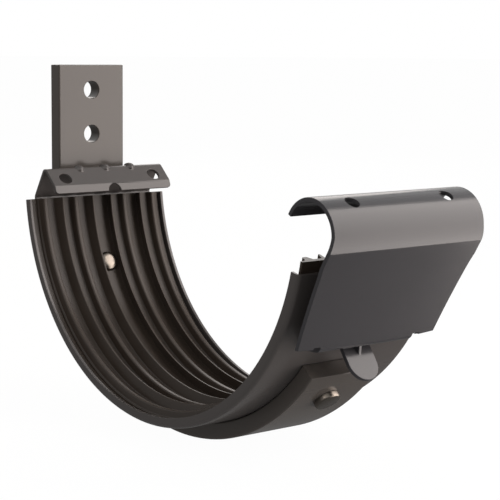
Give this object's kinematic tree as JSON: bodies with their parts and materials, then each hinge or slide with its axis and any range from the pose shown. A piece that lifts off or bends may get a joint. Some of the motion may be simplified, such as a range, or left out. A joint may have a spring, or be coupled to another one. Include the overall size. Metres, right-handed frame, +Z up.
{
  "type": "gutter bracket",
  "caption": "Half-round gutter bracket: flat strap with screw holes, rubber-lined joint shell with rear hook, and a folded lock plate that snaps over the gutter's bead.",
  "frame": {"origin": "midway between the two screw holes, on the back face of the strap", "axes": "+X along the gutter, +Y towards the fascia, +Z up"},
  "size_m": [0.0548, 0.1524, 0.1077],
  "materials": {
    "strap_coat": "fine matt coating on steel bar",
    "shell_coat": "coated steel sheet, satin",
    "plate_coat": "coated steel sheet, satin",
    "seal_rubber": "extruded rubber, slightly shiny",
    "rivet_steel": "bare zinc-plated steel"
  },
  "bodies": {
    "root": {"bracket_strap": "strap_coat", "joint_shell": "shell_coat", "ribbed_seal": "seal_rubber", "lock_plate": "plate_coat", "front_rivet": "rivet_steel", "rear_rivet": "rivet_steel"}
  },
  "joints": []
}
